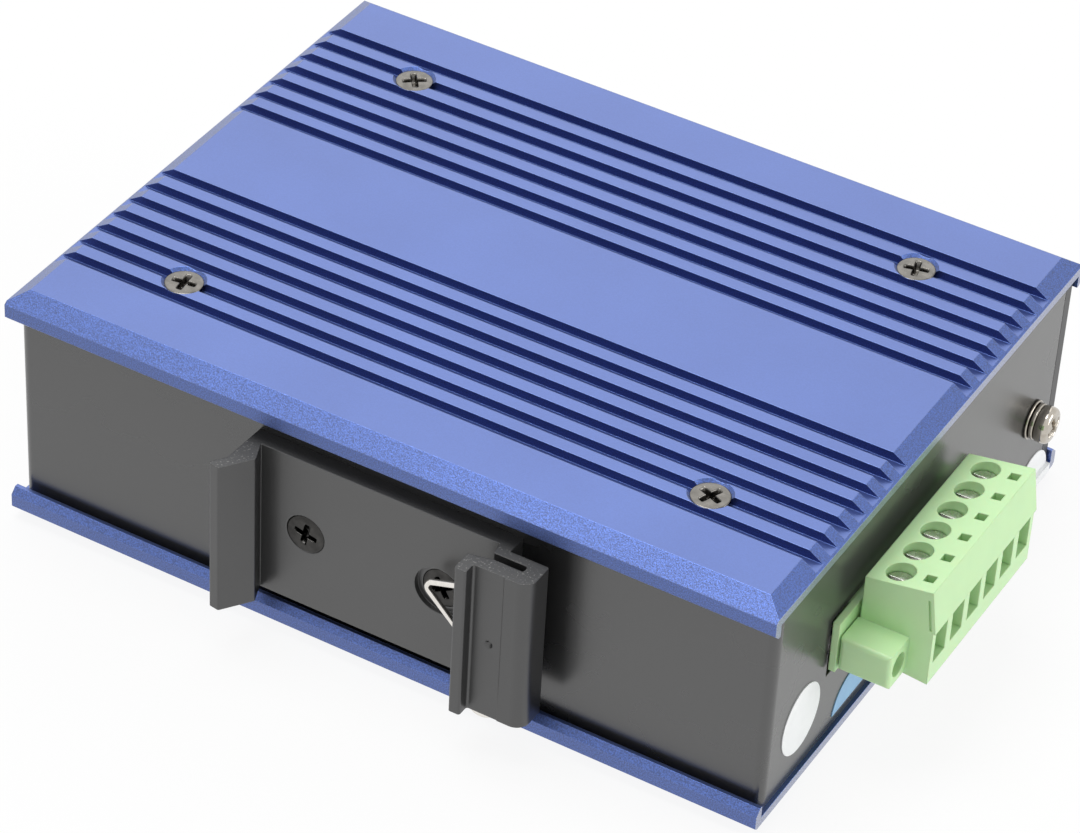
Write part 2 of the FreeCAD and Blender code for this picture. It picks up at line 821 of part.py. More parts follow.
def make_clip_screws():
    """The two countersunk screws that hold the clip."""
    body = new_body("clip_screws")
    flat_screw(body, "clip_screw_left", (CLIP_LEFT, CLIP_FACE, MIDDLE), ALONG_Y,
               size.clip_head_diameter, size.clip_screw_length)
    deep = CLIP_FACE + size.clip_bore_depth
    flat_screw(body, "clip_screw_right", (CLIP_RIGHT, deep, MIDDLE), ALONG_Y,
               size.clip_head_diameter, size.clip_screw_length)
    return body


def make_clip_nuts():
    """The two press nuts inside the back wall."""
    body = new_body("clip_nuts")
    inside = BACK_WALL + size.sheet
    for number, x in enumerate((CLIP_LEFT, CLIP_RIGHT)):
        primitive(body, "AdditiveCylinder", "clip_nut_%d" % number, (x, inside, MIDDLE), ALONG_Y,
                  Radius=size.rail_nut_diameter / 2, Height=size.rail_nut_length)
        primitive(body, "SubtractiveCylinder", "clip_nut_thread_%d" % number, (x, inside, MIDDLE),
                  ALONG_Y, Radius=size.screw_diameter / 2 + size.thread_fit,
                  Height=size.rail_nut_length)
    return body


def make_circuit_board():
    """The board with its pillar holes and the holes of the terminal pins."""
    body = new_body("circuit_board")
    outline = new_sketch(body, "XY_Plane", "board_outline", BOARD_UNDER)
    half = END_WALL - size.sheet - size.board_end_gap
    front = PANEL_BACK - size.panel_gap - size.sheet - size.board_front_gap
    back = BACK_WALL + size.sheet + size.board_back_gap
    add_rectangle(outline, (-half, back), (half, front))
    pad(body, outline, size.board_thickness)
    holes = new_sketch(body, "XY_Plane", "board_holes")
    for spot in pillar_spots():
        add_circle(holes, spot, size.screw_diameter + size.screw_clearance)
    for y in ways():
        add_circle(holes, (PIN_LEG, y), size.pin_side * 1.6)
    pocket(body, holes)
    return body


def make_terminal_header():
    """The board header: an open shell for the plug's tongue, with a flange plate."""
    body = new_body("terminal_header")
    wall = size.shell_wall
    gap = size.shell_gap
    primitive(body, "AdditiveBox", "header_block", (HEADER_BACK, PLUG_LOW, BOARD_TOP),
              Length=HEADER_FRONT - HEADER_BACK, Width=PLUG_HIGH - PLUG_LOW,
              Height=HEADER_TOP - BOARD_TOP)
    foot = size.ear_bottom - size.header_plate_drop
    primitive(body, "AdditiveBox", "header_flange",
              (HEADER_FRONT - size.header_plate, PLUG_LOW - size.ear_width, foot),
              Length=size.header_plate, Width=PLUG_HIGH - PLUG_LOW + 2 * size.ear_width,
              Height=HEADER_TOP + size.header_rim - foot)
    mouth = TONGUE_BACK - 2 * gap
    primitive(body, "SubtractiveBox", "header_mouth",
              (mouth, PLUG_LOW + wall, size.tongue_bottom - gap),
              Length=HEADER_FRONT - mouth, Width=PLUG_HIGH - PLUG_LOW - 2 * wall,
              Height=size.tongue_height + 2 * gap)
    fit = size.pin_side + 2 * size.thread_fit
    pins = new_sketch(body, "YZ_Plane", "header_pin_holes", HEADER_BACK)
    for y in ways():
        add_rectangle(pins, (y - fit / 2, PIN_LEVEL - fit / 2), (y + fit / 2, PIN_LEVEL + fit / 2))
    pocket(body, pins, mouth - HEADER_BACK + 1, reverse=True)
    for number, y in enumerate(ear_spots()):
        primitive(body, "SubtractiveCylinder", "header_screw_hole_%d" % number,
                  (HEADER_FRONT - 2 * size.header_plate, y, EAR_MIDDLE), ALONG_X,
                  Radius=size.ear_screw_diameter / 2 + size.contact_gap,
                  Height=3 * size.header_plate)
    return body


def make_header_pins():
    """Six square pins, each bent down into the board."""
    body = new_body("header_pins")
    side = size.pin_side
    foot = BOARD_UNDER - size.pin_side
    reach = TONGUE_BACK + size.pin_reach - PIN_LEG
    for number, y in enumerate(ways()):
        primitive(body, "AdditiveBox", "pin_bar_%d" % number,
                  (PIN_LEG - side / 2, y - side / 2, PIN_LEVEL - side / 2),
                  Length=reach, Width=side, Height=side)
        primitive(body, "AdditiveBox", "pin_leg_%d" % number,
                  (PIN_LEG - side / 2, y - side / 2, foot),
                  Length=side, Width=side, Height=PIN_LEVEL - foot)
    return body


def make_terminal_plug():
    """The plug's moulding: sloping top, six wells and windows, two screw ears."""
    body = new_body("terminal_plug")
    top_front = PLUG_BACK + size.plug_top_depth
    shoulder = size.plug_bottom + size.plug_front_height
    width = PLUG_HIGH - PLUG_LOW
    profile = new_sketch(body, "XZ_Plane", "plug_profile", -PLUG_LOW)
    add_outline(profile, [
        (PLUG_BACK, size.plug_bottom + size.plug_bottom_rise),
        (PLUG_FRONT - size.plug_step, size.plug_bottom),
        (PLUG_FRONT - size.plug_step, shoulder),
        (PLUG_FRONT, shoulder),
        (top_front, size.plug_top_front),
        (PLUG_BACK, size.plug_top_back),
    ])
    pad(body, profile, width, reverse=True)
    for number, y in enumerate((PLUG_LOW - size.ear_width, PLUG_HIGH)):
        primitive(body, "AdditiveBox", "plug_ear_%d" % number, (EAR_BACK, y, size.ear_bottom),
                  Length=size.ear_depth, Width=size.ear_width, Height=size.ear_height)

    outer = PLUG_HIGH.value - PLUG_LOW.value + 2 * size.ear_width.value
    centre = (PLUG_HIGH.value + PLUG_LOW.value) / 2
    round_edges(body, size.ear_round, lambda edge: all(
        abs(abs(vertex.Point.y - centre) - outer / 2) < 0.01 for vertex in edge.Vertexes))
    inset = size.shell_wall + size.shell_gap
    primitive(body, "AdditiveBox", "plug_tongue",
              (TONGUE_BACK, PLUG_LOW + inset, size.tongue_bottom),
              Length=size.tongue_length + 1, Width=width - 2 * inset, Height=size.tongue_height)

    windows = new_sketch(body, "YZ_Plane", "plug_windows", PLUG_FRONT)
    sockets = new_sketch(body, "YZ_Plane", "plug_sockets", TONGUE_BACK)
    wells = new_sketch(body, "XY_Plane", "plug_wells", size.well_floor)
    shafts = new_sketch(body, "XY_Plane", "plug_shafts", WINDOW_FLOOR)
    tests = new_sketch(body, "XY_Plane", "plug_tests", size.plug_top_front - size.test_depth)
    socket = CONTACT_SIDE / 2 + size.cage_gap
    half = size.window_width / 2
    test = size.test_side / 2
    for y in ways():
        add_rectangle(windows, (y - half, WINDOW_FLOOR), (y + half, WINDOW_FLOOR + size.window_height))
        add_rectangle(sockets, (y - socket, PIN_LEVEL - socket), (y + socket, PIN_LEVEL + socket))
        add_circle(wells, (WELL_X, y), size.well_diameter)
        add_circle(shafts, (WELL_X, y), size.clamp_shank_diameter + size.screw_clearance)
        add_rectangle(tests, (TEST_X - test, y - test), (TEST_X + test, y + test))
    pocket(body, windows, size.window_depth)
    pocket(body, sockets, WINDOW_BACK - TONGUE_BACK + size.cage_gap, reverse=True)
    height = size.plug_top_front - size.well_floor
    pocket(body, wells, height, reverse=True)
    pocket(body, shafts, size.well_floor - WINDOW_FLOOR, reverse=True)
    pocket(body, tests, size.test_depth, reverse=True)

    for name, level, inward in (("near", PLUG_LOW, False), ("far", PLUG_HIGH, True)):
        seam = new_sketch(body, "XZ_Plane", "plug_seam_" + name, -level)
        thin = size.plug_seam
        add_outline(seam, [
            (top_front - 2 * thin, size.plug_top_front - 5 * thin),
            (top_front - thin, size.plug_top_front - 5 * thin),
            (PLUG_FRONT - 2 * thin, shoulder + thin),
            (PLUG_FRONT - 3 * thin, shoulder + thin),
        ])
        pocket(body, seam, thin, reverse=inward)

    for number, y in enumerate(ear_spots()):
        primitive(body, "SubtractiveCylinder", "plug_ear_hole_%d" % number,
                  (EAR_BACK - 1, y, EAR_MIDDLE), ALONG_X,
                  Radius=size.ear_screw_diameter / 2 + size.contact_gap, Height=size.ear_depth + 2)
        primitive(body, "SubtractiveCylinder", "plug_ear_bore_%d" % number,
                  (EAR_BACK + size.ear_depth / 2, y, EAR_MIDDLE), ALONG_X,
                  Radius=size.ear_bore / 2, Height=size.ear_depth)
    return body


def make_plug_cages():
    """Six clamp cages behind the wire windows, each a short tube tapped in its roof."""
    body = new_body("plug_cages")
    wide = size.window_width - 2 * size.cage_gap
    tall = size.window_height - 2 * size.cage_gap
    wall = size.cage_wall
    back = WELL_X - size.cage_depth / 2
    foot = WINDOW_FLOOR + size.cage_gap
    for number, y in enumerate(ways()):
        primitive(body, "AdditiveBox", "cage_%d" % number, (back, y - wide / 2, foot),
                  Length=size.cage_depth, Width=wide, Height=tall)
        primitive(body, "SubtractiveBox", "cage_mouth_%d" % number,
                  (back, y - wide / 2 + wall, foot + wall),
                  Length=size.cage_depth, Width=wide - 2 * wall, Height=tall - 2 * wall)
        primitive(body, "SubtractiveCylinder", "cage_thread_%d" % number,
                  (WELL_X, y, foot + tall / 2),
                  Radius=size.clamp_shank_diameter / 2 + size.thread_fit, Height=tall)
    return body


def make_plug_contacts():
    """Six contacts: a channel round each pin and a strip that runs into the cage."""
    body = new_body("plug_contacts")
    side = CONTACT_SIDE
    wall = size.contact_wall
    end = WINDOW_BACK - size.cage_gap
    strip = size.cage_wall
    narrow = size.window_width - 2 * (size.cage_gap + size.cage_wall) - 2 * size.cage_gap
    start = TONGUE_BACK + 2 * size.contact_gap
    for number, y in enumerate(ways()):
        primitive(body, "AdditiveBox", "contact_%d" % number,
                  (start, y - side / 2, PIN_LEVEL - side / 2),
                  Length=end - start, Width=side, Height=side)
        primitive(body, "SubtractiveBox", "contact_mouth_%d" % number,
                  (start, y - side / 2 + wall, PIN_LEVEL - side / 2),
                  Length=end - start, Width=side - 2 * wall, Height=side - wall)
        primitive(body, "AdditiveBox", "contact_strip_%d" % number,
                  (end - strip, y - narrow / 2, PIN_LEVEL + side / 2 - wall),
                  Length=WELL_X + size.cage_depth / 2 - end + strip, Width=narrow,
                  Height=wall)
    return body


def make_plug_clamp_screws():
    """Six slotted clamp screws in the wells, tips on the contact strips."""
    body = new_body("plug_clamp_screws")
    under = size.well_floor + size.thread_fit
    tip = PIN_LEVEL + CONTACT_SIDE / 2 + size.thread_fit
    top = under + size.clamp_head_height
    slot = size.driver_slot
    wide = size.clamp_head_diameter + 1
    for number, y in enumerate(ways()):
        primitive(body, "AdditiveCylinder", "clamp_head_%d" % number, (WELL_X, y, under),
                  Radius=size.clamp_head_diameter / 2, Height=size.clamp_head_height)
        primitive(body, "AdditiveCylinder", "clamp_shank_%d" % number, (WELL_X, y, tip),
                  Radius=size.clamp_shank_diameter / 2, Height=under - tip)
        primitive(body, "SubtractiveBox", "clamp_slot_%d" % number,
                  (WELL_X - wide / 2, y - slot / 2, top - slot),
                  Length=wide, Width=slot, Height=slot)
    return body


def make_plug_flange_screws():
    """The two slotted screws that hold the plug to the header."""
    body = new_body("plug_flange_screws")
    seat = EAR_BACK + size.ear_depth / 2
    tip = HEADER_FRONT - size.header_plate - size.ear_nut_height
    slot = size.driver_slot
    head = size.clamp_head_height + slot
    wide = size.ear_screw_head + 1
    for number, y in enumerate(ear_spots()):
        primitive(body, "AdditiveCylinder", "flange_screw_%d" % number, (tip, y, EAR_MIDDLE),
                  ALONG_X, Radius=size.ear_screw_diameter / 2, Height=seat - tip)
        primitive(body, "AdditiveCylinder", "flange_screw_head_%d" % number, (seat, y, EAR_MIDDLE),
                  ALONG_X, Radius=size.ear_screw_head / 2, Height=head)
        primitive(body, "SubtractiveBox", "flange_screw_slot_%d" % number,
                  (seat + head - slot, y - wide / 2, EAR_MIDDLE - slot / 2),
                  Length=slot, Width=wide, Height=slot)
    return body


def make_header_nuts():
    """The two round press nuts behind the header's flange plate."""
    body = new_body("header_nuts")
    start = HEADER_FRONT - size.header_plate - size.ear_nut_height
    for number, y in enumerate(ear_spots()):
        primitive(body, "AdditiveCylinder", "header_nut_%d" % number, (start, y, EAR_MIDDLE), ALONG_X,
                  Radius=size.ear_nut_diameter / 2, Height=size.ear_nut_height)
        primitive(body, "SubtractiveCylinder", "header_nut_thread_%d" % number,
                  (start, y, EAR_MIDDLE), ALONG_X,
                  Radius=size.ear_screw_diameter / 2 + size.thread_fit, Height=size.ear_nut_height)
    return body


def make_port_housing():
    """The moulded insert of the ganged jack: a stepped cavity for each plug."""
    body = new_body("port_housing")
    skin = size.jack_skin
    half = size.jack_width / 2 - skin
    primitive(body, "AdditiveBox", "housing_block", (-half, JACK_BACK + skin, BOARD_TOP),
              Length=2 * half, Width=JACK_FRONT - JACK_BACK - skin, Height=size.jack_height - skin)
    cavities = new_sketch(body, "XZ_Plane", "housing_ports", -JACK_FRONT)
    wide = size.port_width / 2
    latch = size.latch_width / 2
    for x in port_spots():
        add_outline(cavities, [
            (x - latch, PORT_FLOOR - size.latch_height),
            (x + latch, PORT_FLOOR - size.latch_height),
            (x + latch, PORT_FLOOR),
            (x + wide, PORT_FLOOR),
            (x + wide, PORT_FLOOR + size.port_height),
            (x - wide, PORT_FLOOR + size.port_height),
            (x - wide, PORT_FLOOR),
            (x - latch, PORT_FLOOR),
        ])
    pocket(body, cavities, size.port_depth, reverse=True)
    return body


def make_port_shield():
    """The jack's sheet metal shield: roof, back and sides round the housing."""
    body = new_body("port_shield")
    skin = size.jack_skin
    half = size.jack_width / 2
    shell = new_sketch(body, "XZ_Plane", "shield_wrap", -JACK_BACK)
    add_outline(shell, [
        (-half, BOARD_TOP),
        (-half, JACK_TOP),
        (half, JACK_TOP),
        (half, BOARD_TOP),
        (half - skin, BOARD_TOP),
        (half - skin, JACK_TOP - skin),
        (skin - half, JACK_TOP - skin),
        (skin - half, BOARD_TOP),
    ])
    pad(body, shell, size.jack_depth, reverse=True)
    back = new_sketch(body, "XZ_Plane", "shield_back", -JACK_BACK)
    add_rectangle(back, (-half, BOARD_TOP), (half, JACK_TOP))
    pad(body, back, skin, reverse=True)
    return body


def make_port_contacts():
    """Eight sprung wires in the roof of each port."""
    side = size.wire_side.value
    roof = (PORT_FLOOR + size.port_height).value
    back = (JACK_FRONT - size.port_depth).value
    reach = size.port_depth.value * 0.62
    drop = size.latch_height.value * 0.8
    corners = [(back, roof - side), (back + reach, roof - drop - side),
               (back + reach, roof - drop), (back, roof)]
    wires = []
    for x in port_spots():
        for number in range(8):
            start = x.value + (number - 3.5) * size.contact_pitch.value - side / 2
            spots = [FreeCAD.Vector(start, y, z) for y, z in corners]
            face = Part.Face(Part.makePolygon(spots + spots[:1]))
            wires.append(face.extrude(FreeCAD.Vector(side, 0, 0)))
    feature = DOC.addObject("Part::Feature", "port_contacts")
    feature.Label = "port_contacts"
    feature.Shape = Part.makeCompound(wires)
    feature.Placement = FreeCAD.Placement()
    return feature


def make_indicator_lamps():
    """Six round light pipes with bevelled ends, pushed into the front panel."""
    body = new_body("indicator_lamps")
    for number, (x, z) in enumerate(lamp_spots()):
        primitive(body, "AdditiveCylinder", "lamp_%d" % number,
                  (x, PANEL_FACE - size.lamp_length, z), ALONG_Y,
                  Radius=size.lamp_diameter / 2, Height=size.lamp_length)
        primitive(body, "AdditiveCone", "lamp_tip_%d" % number, (x, PANEL_FACE, z), ALONG_Y,
                  Radius1=size.lamp_diameter / 2, Radius2=size.lamp_diameter / 3,
                  Height=size.lamp_tip)
    return body


def make_earth_screw():
    """The pan head screw of the earth point, its head outside its washers."""
    body = new_body("earth_screw")
    seat = END_WALL + size.washer_thickness + size.spring_washer_height
    y = size.earth_at_y
    z = size.earth_at_z
    radius = size.pan_head_diameter / 2
    crown = size.pan_head_height * 0.4
    primitive(body, "AdditiveCylinder", "earth_head", (seat, y, z), ALONG_X,
              Radius=radius, Height=size.pan_head_height - crown)
    primitive(body, "AdditiveCone", "earth_crown", (seat + size.pan_head_height - crown, y, z), ALONG_X,
              Radius1=radius, Radius2=radius - crown, Height=crown)
    primitive(body, "AdditiveCylinder", "earth_shank", (seat - size.screw_length, y, z), ALONG_X,
              Radius=size.screw_diameter / 2, Height=size.screw_length)
    cross_recess(body, "earth", (seat + size.pan_head_height, y, z), AGAINST_X)
    return body


def ring(body, tag, start, outer, thick):
    """A washer's ring round the earth screw, from a face outwards."""
    at = (start, size.earth_at_y, size.earth_at_z)
    primitive(body, "AdditiveCylinder", tag, at, ALONG_X, Radius=outer / 2, Height=thick)
    primitive(body, "SubtractiveCylinder", tag + "_bore", at, ALONG_X,
              Radius=size.screw_diameter / 2 + size.contact_gap, Height=thick)


def make_earth_washer():
    """The flat washer on the wall."""
    body = new_body("earth_washer")
    ring(body, "flat_ring", END_WALL, size.washer_diameter, size.washer_thickness)
    return body


def make_earth_spring_washer():
    """The split spring washer under the head."""
    body = new_body("earth_spring_washer")
    start = END_WALL + size.washer_thickness
    outer = size.spring_washer_diameter
    ring(body, "split_ring", start, outer, size.spring_washer_height)
    split = size.driver_slot
    primitive(body, "SubtractiveBox", "split", (start, size.earth_at_y, size.earth_at_z - split / 2),
              Length=size.spring_washer_height, Width=outer, Height=split)
    return body


def make_earth_nut():
    """The press nut inside the end wall."""
    body = new_body("earth_nut")
    start = END_WALL - size.sheet - size.rail_nut_length
    at = (start, size.earth_at_y, size.earth_at_z)
    primitive(body, "AdditiveCylinder", "earth_nut_ring", at, ALONG_X,
              Radius=size.rail_nut_diameter / 2, Height=size.rail_nut_length)
    primitive(body, "SubtractiveCylinder", "earth_nut_thread", at, ALONG_X,
              Radius=size.screw_diameter / 2 + size.thread_fit, Height=size.rail_nut_length)
    return body


def make_round_seal():
    """The round paper seal low on the end wall."""
    body = new_body("round_seal")
    primitive(body, "AdditiveCylinder", "round_seal_disc",
              (END_WALL, size.round_seal_y, size.round_seal_z), ALONG_X,
              Radius=size.seal_diameter / 2, Height=size.seal_thickness)
    return body


def make_cut_seal():
    """A round seal whose lower part is cut off straight above the cover."""
    body = new_body("cut_seal")
    primitive(body, "AdditiveCylinder", "cut_seal_disc",
              (END_WALL, size.cut_seal_y, size.cut_seal_z), ALONG_X,
              Radius=size.seal_diameter / 2, Height=size.seal_thickness)
    wide = size.seal_diameter + 2
    primitive(body, "SubtractiveBox", "cut_seal_trim",
              (END_WALL - 1, size.cut_seal_y - wide / 2, size.cut_seal_foot - wide),
              Length=2, Width=wide, Height=wide)
    return body


def make_bridge_seal():
    """The round seal stuck over the joint of end wall and bottom cover."""
    body = new_body("bridge_seal")
    thin = size.seal_thickness
    tall = size.seal_diameter
    fold = new_sketch(body, "XZ_Plane", "bridge_fold", -(BRIDGE_Y - tall / 2))
    add_outline(fold, [
        (END_WALL, FLOOR),
        (END_WALL, FLOOR + tall),
        (END_WALL + thin, FLOOR + tall),
        (END_WALL + thin, FLOOR + thin),
        (HALF_LENGTH + thin, FLOOR + thin),
        (HALF_LENGTH + thin, size.chamfer_end_rise),
        (HALF_LENGTH, size.chamfer_end_rise),
        (HALF_LENGTH, FLOOR),
    ])
    pad(body, fold, tall, reverse=True)
    trim = new_sketch(body, "YZ_Plane", "bridge_trim")
    low = (BRIDGE_Y - 2 * tall, size.bridge_seal_z - 2 * tall)
    add_rectangle(trim, low, (BRIDGE_Y + 2 * tall, size.bridge_seal_z + 2 * tall))
    add_circle(trim, (BRIDGE_Y, size.bridge_seal_z), size.seal_diameter)
    pocket(body, trim)
    return body


def make_block(label, spots, length, width, height):
    """One or more box-shaped parts standing on the board, each centred on its spot."""
    body = new_body(label)
    for number, (x, y) in enumerate(spots):
        primitive(body, "AdditiveBox", "%s_%d" % (label, number),
                  (x - length / 2, y - width / 2, BOARD_TOP),
                  Length=length, Width=width, Height=height)
    return body


def make_capacitors():
    """Two upright electrolytic capacitors."""
    body = new_body("capacitors")
    for number in range(2):
        y = size.can_at_y + number * size.can_pitch
        primitive(body, "AdditiveCylinder", "can_%d" % number, (size.can_at_x, y, BOARD_TOP),
                  Radius=size.can_diameter / 2, Height=size.can_height)
    return body


bottom_cover = make_cover("bottom_cover")
top_cover = make_cover("top_cover")
place(top_cover, (0, 0, TOP), UPSIDE_DOWN)
filter_spots = [(x, size.filter_at_y) for x in port_spots()]

PARTS = [
    bottom_cover,
    top_cover,
    make_cover_screws("bottom_cover_screws", HEAD_LEVEL, UPRIGHT),
    make_cover_screws("top_cover_screws", TOP - HEAD_LEVEL, UPSIDE_DOWN),
    make_lower_pillars(),
    make_upper_pillars(),
    make_chassis(),
    make_front_panel(),
    make_din_clip(),
    make_clip_spring(),
    make_clip_screws(),
    make_clip_nuts(),
    make_circuit_board(),
    make_terminal_header(),
    make_header_pins(),
    make_terminal_plug(),
    make_plug_cages(),
    make_plug_contacts(),
    make_plug_clamp_screws(),
    make_plug_flange_screws(),
    make_header_nuts(),
    make_port_housing(),
    make_port_shield(),
    make_port_contacts(),
    make_indicator_lamps(),
    make_earth_screw(),
    make_earth_washer(),
    make_earth_spring_washer(),
    make_earth_nut(),
    make_round_seal(),
    make_cut_seal(),
    make_bridge_seal(),
    make_block("line_filters", filter_spots, size.filter_length, size.filter_width,
               size.filter_height),
    make_block("switch_chip", [(0, 0)], size.chip_side, size.chip_side, size.chip_height),
    make_block("power_coil", [(size.coil_at_x, size.coil_at_y)], size.coil_side, size.coil_side,
               size.coil_height),
    make_block("alarm_relay", [(size.relay_at_x, size.relay_at_y)], size.relay_length,
               size.relay_width, size.relay_height),
    make_capacitors(),
]

DOC.recompute()
for item in DOC.Objects:
    if "Invalid" in item.State or "Error" in item.State:
        raise RuntimeError("%s did not recompute" % item.Label)
for part in PARTS:
    if part.Shape.isNull() or not part.Shape.isValid():
        raise RuntimeError("%s has no valid shape" % part.Label)
os.makedirs("parts", exist_ok=True)
for part in PARTS:
    part.Shape.exportStep("parts/%s.step" % part.Label)
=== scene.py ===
import math

import bmesh
import bpy
import numpy as np
from mathutils import Matrix, Vector


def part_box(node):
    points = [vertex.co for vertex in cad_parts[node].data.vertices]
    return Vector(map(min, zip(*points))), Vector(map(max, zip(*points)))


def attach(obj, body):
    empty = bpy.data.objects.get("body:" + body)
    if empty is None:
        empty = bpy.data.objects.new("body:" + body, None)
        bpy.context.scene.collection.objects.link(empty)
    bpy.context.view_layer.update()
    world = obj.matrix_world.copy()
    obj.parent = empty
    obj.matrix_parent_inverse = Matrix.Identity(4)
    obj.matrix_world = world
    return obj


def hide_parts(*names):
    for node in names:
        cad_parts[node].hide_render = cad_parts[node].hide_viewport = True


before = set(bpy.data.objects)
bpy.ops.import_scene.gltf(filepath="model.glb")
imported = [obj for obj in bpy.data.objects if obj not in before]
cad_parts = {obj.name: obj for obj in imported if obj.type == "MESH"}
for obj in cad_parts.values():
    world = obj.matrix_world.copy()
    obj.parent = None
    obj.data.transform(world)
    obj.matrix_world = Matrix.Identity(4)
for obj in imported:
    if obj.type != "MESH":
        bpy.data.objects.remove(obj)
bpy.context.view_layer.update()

scene = bpy.context.scene

# ---------------------------------------------------------------------------
# Circuit board: green glass laminate, clamped between the lower and the upper
# pillars, with its components soldered on from above.


def shader(name):
    """A new material with its node tree, Principled shader and links."""
    material = bpy.data.materials.new(name)
    material.use_nodes = True
    tree = material.node_tree
    return material, tree, tree.nodes["Principled BSDF"]


def node(tree, kind, **values):
    """A node with sockets set by name (spaces as underscores) and properties by their own name."""
    made = tree.nodes.new("ShaderNode" + kind)
    for key, value in values.items():
        if hasattr(made, key):
            setattr(made, key, value)
        else:
            made.inputs[key.replace("_", " ")].default_value = value
    return made


def join(tree, source, target):
    """Link an output socket to an input socket."""
    tree.links.new(source, target)


def dress(names, material):
    """Give CAD nodes one finished material in place of their plain one."""
    for name in names:
        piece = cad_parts[name]
        piece.data.materials.clear()
        piece.data.materials.append(material)


def new_group(name, inputs, outputs):
    """A shader node group with named sockets; an input has a kind and a value."""
    group = bpy.data.node_groups.new(name, "ShaderNodeTree")
    for label, kind, value in inputs:
        socket = group.interface.new_socket(name=label, in_out="INPUT", socket_type="NodeSocket" + kind)
        socket.default_value = value
    for label, kind in outputs:
        group.interface.new_socket(name=label, in_out="OUTPUT", socket_type="NodeSocket" + kind)
    enter = group.nodes.new("NodeGroupInput")
    leave = group.nodes.new("NodeGroupOutput")
    return group, enter, leave


def place_group(tree, group, **values):
    """One use of a node group in a material, with its own input values."""
    made = tree.nodes.new("ShaderNodeGroup")
    made.node_tree = group
    for key, value in values.items():
        made.inputs[key.replace("_", " ")].default_value = value
    return made


# Fine surface grain: noise of one size gives a height for bump, and a slower
# noise gives a patchy mask for colour and roughness.
grain_group, enter, leave = new_group(
    "surface grain",
    [("Grain Size", "Float", 0.0003), ("Patch Size", "Float", 0.01)],
    [("Height", "Float"), ("Patches", "Float")],
)
spot = node(grain_group, "TexCoord")
for label, size, detail in (("Height", "Grain Size", 2), ("Patches", "Patch Size", 4)):
    shrink = node(grain_group, "VectorMath", operation="SCALE")
    inverse = node(grain_group, "Math", operation="DIVIDE")
    inverse.inputs[0].default_value = 1
    join(grain_group, enter.outputs[size], inverse.inputs[1])
    join(grain_group, spot.outputs["Object"], shrink.inputs[0])
    join(grain_group, inverse.outputs[0], shrink.inputs["Scale"])
    noise = node(grain_group, "TexNoise", Scale=1, Detail=detail)
    join(grain_group, shrink.outputs[0], noise.inputs["Vector"])
    join(grain_group, noise.outputs["Fac"], leave.inputs[label])


def between(tree, factor, low, high):
    """A value that runs from low to high with a 0 to 1 factor socket."""
    span = node(tree, "MapRange")
    span.inputs["To Min"].default_value = low
    span.inputs["To Max"].default_value = high
    join(tree, factor, span.inputs["Value"])
    return span.outputs["Result"]


def blend(tree, factor, first, second):
    """A colour between two by a 0 to 1 factor socket; the first may be a socket itself."""
    mix = node(tree, "Mix", data_type="RGBA")
    if isinstance(first, tuple):
        mix.inputs["A"].default_value = (*first, 1)
    else:
        join(tree, first, mix.inputs["A"])
    mix.inputs["B"].default_value = (*second, 1)
    join(tree, factor, mix.inputs["Factor"])
    return mix.outputs["Result"]


def finish(name, colours, roughness, metal=0.0, grain=0.0003, patch=0.01, height=0.00001,
           edge=0.0, **sockets):
    """A material: two near colours and roughnesses by patches, grain bump, rounded edges."""
    material, tree, bsdf = shader(name)
    grains = place_group(tree, grain_group, Grain_Size=grain, Patch_Size=patch)
    overshoot = 0.6
    patches = between(tree, grains.outputs["Patches"], -overshoot, 1 + overshoot)
    clamp = node(tree, "Clamp")
    join(tree, patches, clamp.inputs["Value"])
    join(tree, blend(tree, clamp.outputs[0], *colours), bsdf.inputs["Base Color"])
    join(tree, between(tree, clamp.outputs[0], *roughness), bsdf.inputs["Roughness"])
    bsdf.inputs["Metallic"].default_value = metal
    for key, value in sockets.items():
        bsdf.inputs[key.replace("_", " ")].default_value = value
    bump = node(tree, "Bump", Strength=1.0, Distance=height)
    join(tree, grains.outputs["Height"], bump.inputs["Height"])
    if edge:
        bevel = node(tree, "Bevel", Radius=edge, samples=8)
        join(tree, bevel.outputs[0], bump.inputs["Normal"])
    join(tree, bump.outputs[0], bsdf.inputs["Normal"])
    return material


laminate = finish("green laminate", [(0.01, 0.09, 0.03), (0.02, 0.13, 0.045)], (0.3, 0.45),
                  patch=0.004, height=0.000004)
moulded = finish("black component moulding", [(0.012, 0.012, 0.012), (0.02, 0.02, 0.021)], (0.45, 0.6),
                 patch=0.003)
can_sleeve = finish("can sleeve", [(0.01, 0.012, 0.03), (0.016, 0.02, 0.045)], (0.25, 0.35), patch=0.004)
dress(["circuit_board"], laminate)
dress(["line_filters", "switch_chip", "power_coil", "alarm_relay"], moulded)
dress(["capacitors"], can_sleeve)

# ---------------------------------------------------------------------------
# Pillars: turned hexagon brass bar, nickel plated, one above the other
# through the board.

nickel = finish("nickel plate", [(0.58, 0.56, 0.52), (0.70, 0.68, 0.64)], (0.16, 0.26), metal=1.0,
                grain=0.0002, patch=0.002, height=0.000003, edge=0.0001)
dress(["lower_pillars", "upper_pillars"], nickel)

# ---------------------------------------------------------------------------
# Network jack: five ports in one black moulding inside a folded tin shield,
# with gold plated spring wires in the roof of each port.

port_moulding = finish("port moulding", [(0.015, 0.015, 0.016), (0.024, 0.024, 0.025)], (0.38, 0.5),
                       patch=0.004, height=0.000004)
tin_sheet = finish("tin sheet", [(0.5, 0.5, 0.48), (0.62, 0.62, 0.6)], (0.25, 0.4), metal=1.0,
                   patch=0.003, height=0.000003)
gold = finish("gold plate", [(0.85, 0.55, 0.18), (0.95, 0.66, 0.26)], (0.15, 0.25), metal=1.0,
              patch=0.001, height=0.000001)
dress(["port_housing"], port_moulding)
dress(["port_shield"], tin_sheet)
dress(["port_contacts"], gold)

